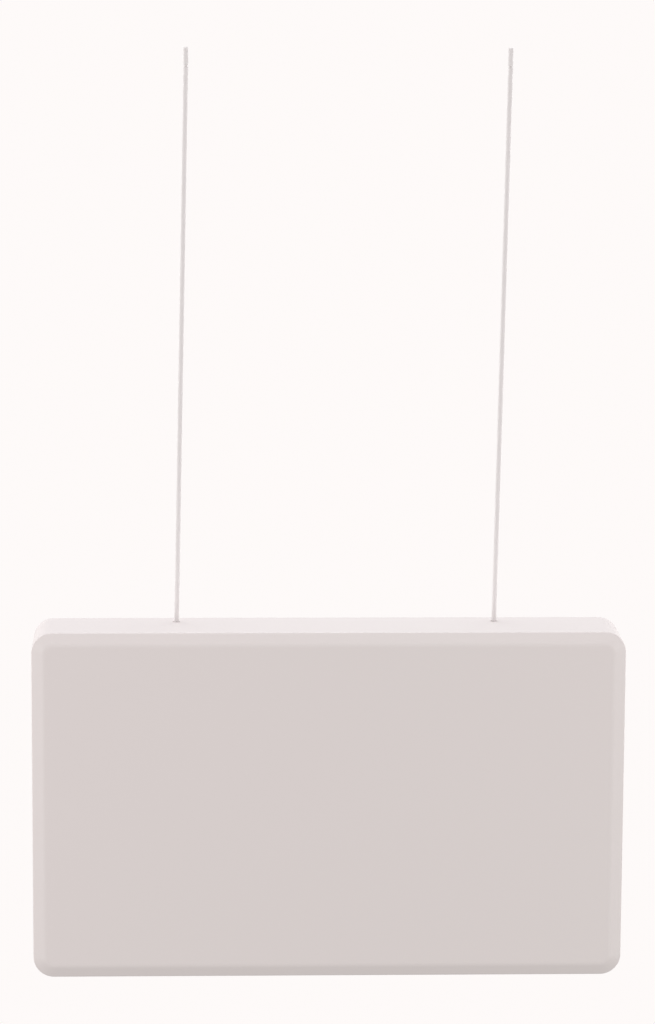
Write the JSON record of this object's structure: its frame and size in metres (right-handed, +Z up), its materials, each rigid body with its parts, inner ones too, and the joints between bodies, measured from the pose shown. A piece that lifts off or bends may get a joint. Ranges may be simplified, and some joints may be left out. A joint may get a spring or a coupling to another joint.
{
  "type": "overhead detection gate",
  "caption": "Slim rounded box antenna housing hung from the ceiling by coated wires, with a hinged rear hatch over its connectors.",
  "frame": {"origin": "midway between the tops of the two end sockets, in the plane where the ceiling fittings hold them", "axes": "+X to the right seen from the front, along the housing's width; +Y from the front face to the back; +Z up"},
  "size_m": [0.6, 0.084, 0.9407],
  "materials": {
    "housing_plastic": "fine-textured moulded, off-white",
    "diffuser_plastic": "translucent white, satin",
    "label_metal": "anodised, plain",
    "bay_plastic": "moulded light grey",
    "wire_coating": "smooth satin plastic coat on steel rope, off-white",
    "end_fitting": "powder-coated light grey",
    "ball_steel": "polished stainless",
    "zinc_steel": "zinc plated",
    "chassis_steel": "galvanised sheet",
    "hanger_zinc": "die-cast, plain",
    "seat_bronze": "sintered, oiled",
    "reflector_aluminium": "mill finish sheet",
    "patch_brass": "tin-plated sheet",
    "insulator": "turned PTFE",
    "gold_plate": "gold plated",
    "coax_jacket": "brown FEP jacket",
    "circuit_board": "green solder mask",
    "shield_tin": "tinned sheet",
    "thermal_rubber": "soft pink pad",
    "sink_aluminium": "extruded, plain",
    "dark_plastic": "moulded black",
    "terminal_plastic": "moulded green",
    "magnet": "nickel plated",
    "light_pipe": "clear acrylic"
  },
  "bodies": {
    "ceiling_ends": {"end_socket_left": "end_fitting", "end_socket_right": "end_fitting"},
    "upper_balls": {"upper_ball_left": "end_fitting", "upper_ball_right": "end_fitting"},
    "wire_left": {"wire_left": "wire_coating"},
    "wire_right": {"wire_right": "wire_coating"},
    "lower_balls": {"lower_ball_left": "ball_steel", "lower_ball_right": "ball_steel"},
    "hatch": {"hatch": "housing_plastic", "hatch_keepers": "zinc_steel"},
    "reset_button": {"reset_button": "dark_plastic"},
    "housing": {"front_cover": "housing_plastic", "rear_housing": "housing_plastic", "cover_screws": "zinc_steel", "housing_screws": "zinc_steel", "light_diffuser": "diffuser_plastic", "rating_plate": "label_metal", "hatch_magnets": "magnet", "hinge_pins": "zinc_steel", "connector_bay": "bay_plastic", "hanger_block_left": "hanger_zinc", "hanger_block_right": "hanger_zinc", "ball_seats": "seat_bronze", "seat_plugs": "zinc_steel", "hanger_screws": "zinc_steel", "chassis_plate": "chassis_steel", "reflector_standoffs": "zinc_steel", "reflector_screws": "zinc_steel", "reflector_tray": "reflector_aluminium", "patch_1": "patch_brass", "patch_2": "patch_brass", "patch_3": "patch_brass", "patch_4": "patch_brass", "patch_5": "patch_brass", "patch_6": "patch_brass", "patch_spacers": "insulator", "feed_probes": "gold_plate", "feed_bushes": "insulator", "coax_jumpers": "coax_jacket", "switch_board": "circuit_board", "coax_sockets": "gold_plate", "reader_board": "circuit_board", "reader_shield": "shield_tin", "thermal_pad": "thermal_rubber", "heat_sink": "sink_aluminium", "power_board": "circuit_board", "power_parts": "dark_plastic", "board_standoffs": "zinc_steel", "board_screws": "zinc_steel", "interface_board": "circuit_board", "network_jack": "shield_tin", "network_contacts": "gold_plate", "power_jack": "dark_plastic", "io_terminal": "terminal_plastic", "service_port": "shield_tin", "reset_switch": "dark_plastic", "light_pipes": "light_pipe", "light_board": "circuit_board", "light_bracket": "zinc_steel", "sounder": "dark_plastic"}
  },
  "joints": [
    {"name": "swing", "type": "hinge", "parent": "ceiling_ends", "child": "upper_balls", "pos_m": [0, 0, -0.01704], "axis": [1, 0, 0], "range_deg": [-20, 20]},
    {"name": "sway", "type": "hinge", "parent": "upper_balls", "child": "wire_left", "pos_m": [-0.162, 0, -0.01704], "axis": [0, 1, 0], "range_deg": [-8, 8]},
    {"name": "sway_right", "type": "hinge", "parent": "upper_balls", "child": "wire_right", "pos_m": [0.162, 0, -0.01704], "axis": [0, 1, 0], "range_deg": [-8, 8]},
    {"name": "level", "type": "hinge", "parent": "wire_left", "child": "lower_balls", "pos_m": [-0.17195, 0, -0.58695], "axis": [0, 1, 0], "range_deg": [-8, 8]},
    {"name": "rock", "type": "hinge", "parent": "lower_balls", "child": "housing", "pos_m": [-0.00995, 0, -0.58695], "axis": [1, 0, 0], "range_deg": [-8, 8]},
    {"name": "hatch_hinge", "type": "hinge", "parent": "housing", "child": "hatch", "pos_m": [-0.08945, 0.0191, -0.68069], "axis": [0, 0, 1], "range_deg": [0, 95]},
    {"name": "reset_press", "type": "slide", "parent": "housing", "child": "reset_button", "axis": [0, -1, 0], "range_m": [0, 0.0008], "stiffness_N_per_m": 400, "springref_m": -0.0005}
  ],
  "couplings": [
    {"joint": "sway_right", "follows": "sway", "ratio": 1},
    {"joint": "level", "follows": "sway", "ratio": -1}
  ]
}
